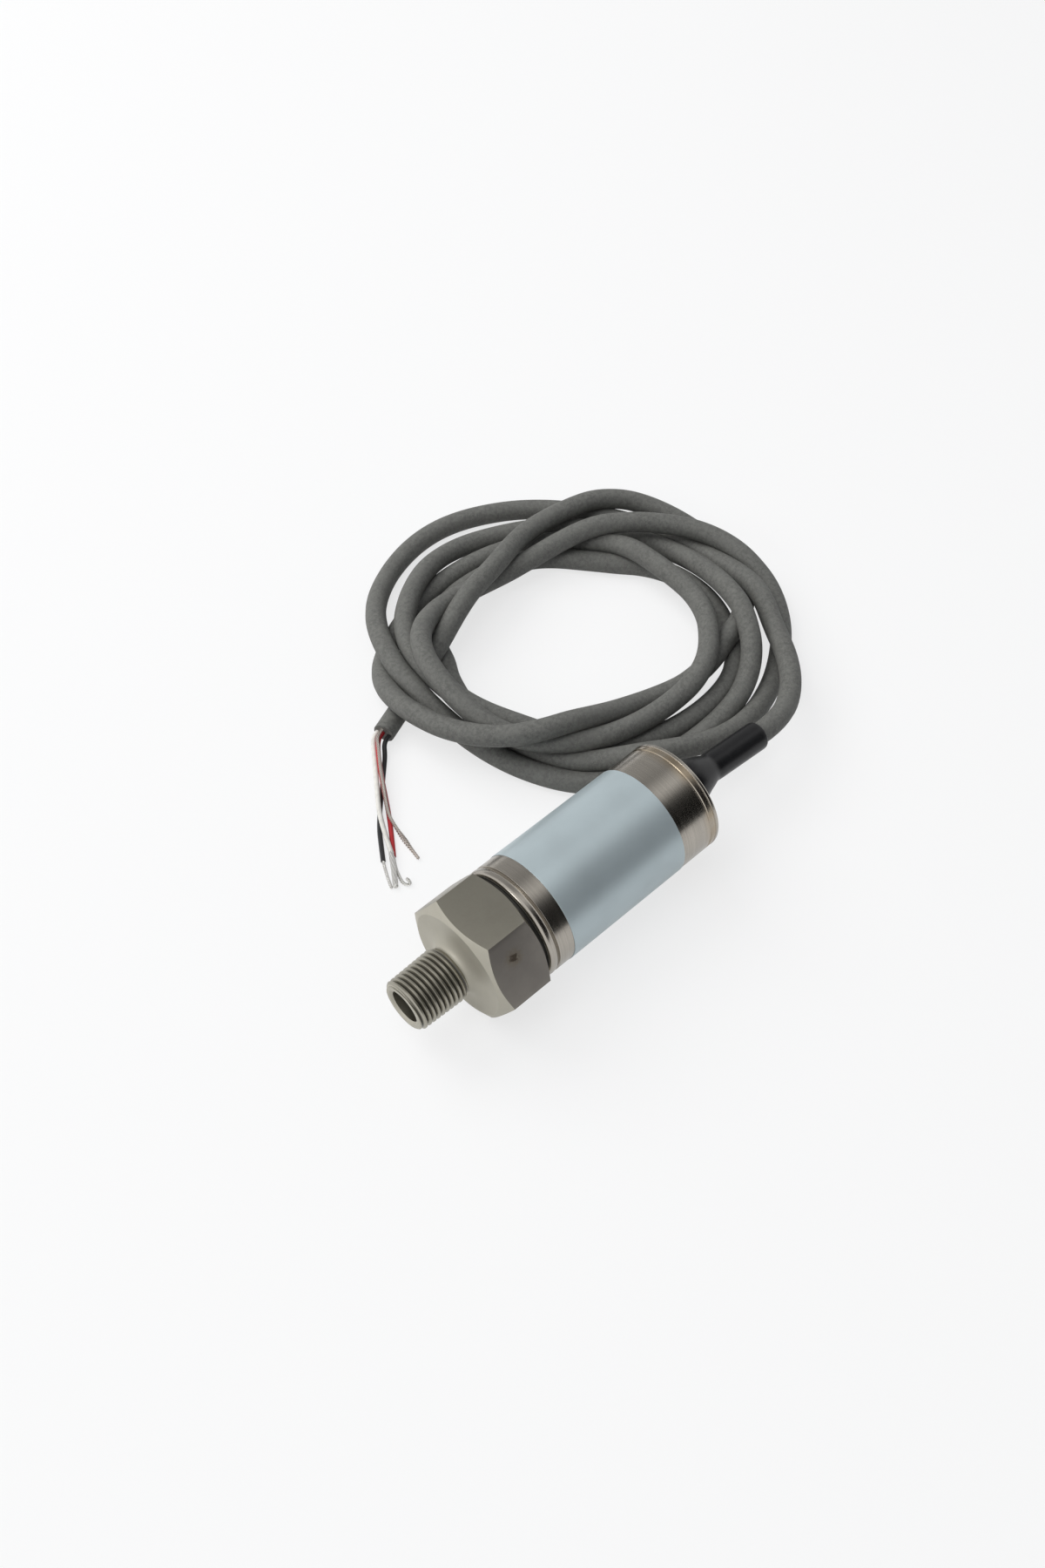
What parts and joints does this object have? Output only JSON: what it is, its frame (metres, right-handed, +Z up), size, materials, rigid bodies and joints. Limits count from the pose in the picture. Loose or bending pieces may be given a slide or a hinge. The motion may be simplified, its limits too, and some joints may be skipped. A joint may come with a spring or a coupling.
{
  "type": "pressure transmitter",
  "caption": "Pressure transmitter: hexagonal process fitting with taper-threaded port, cylindrical steel can with a plain label, strain relief and a wound signal cable ending in bare wires.",
  "frame": {"origin": "on the surface that the transmitter lies on, under the middle of the transmitter without its free cable", "axes": "+X along the transmitter's axis from the port's mouth towards the cable, +Z up from the hexagon's lower flat"},
  "size_m": [0.1263, 0.1033, 0.0222],
  "materials": {
    "fitting_steel": "bead-blasted stainless steel, turned thread",
    "can_steel": "satin turned stainless steel, heat tint by the back rim",
    "plate_steel": "stamped stainless steel",
    "label_foil": "satin printed polyester foil, pale blue-grey",
    "black_rubber": "moulded black rubber, semi-gloss",
    "sleeve_black": "shrunk black polyolefin sleeve",
    "cable_grey": "matt grey cable jacket, faint speckle",
    "wire_white": "white wire insulation",
    "wire_red": "red wire insulation",
    "wire_black": "black wire insulation",
    "tinned_copper": "tinned copper strand",
    "drain_copper": "twisted tinned drain wire",
    "board_green": "solder-masked circuit board",
    "chip_black": "moulded component bodies",
    "ceramic_tan": "ceramic component bodies",
    "spacer_nylon": "natural nylon",
    "flex_amber": "polyimide flexible circuit",
    "silicon": "silicon gauge chips",
    "clip_bronze": "sprung bronze strip"
  },
  "bodies": {
    "root": {"process_fitting": "fitting_steel", "housing_can": "can_steel", "back_plate": "plate_steel", "label": "label_foil", "strain_gauges": "silicon", "gauge_flex": "flex_amber", "front_spacer": "spacer_nylon", "rear_spacer": "spacer_nylon", "circuit_board": "board_green", "amplifier_chip": "chip_black", "regulator_chip": "chip_black", "capacitors": "ceramic_tan", "resistors": "chip_black", "ground_clip": "clip_bronze", "cable_grommet": "black_rubber", "crimp_ring": "plate_steel", "cable_root": "cable_grey", "cable_sleeve": "sleeve_black", "inner_lead_white": "wire_white", "inner_lead_red": "wire_red", "inner_lead_black": "wire_black", "cable_lead": "cable_grey", "cable_coil": "cable_grey", "cable_tail": "cable_grey", "white_wire": "wire_white", "white_tinned_end": "tinned_copper", "red_wire": "wire_red", "red_tinned_end": "tinned_copper", "black_wire": "wire_black", "black_tinned_end": "tinned_copper", "drain_wire": "drain_copper"}
  },
  "joints": []
}
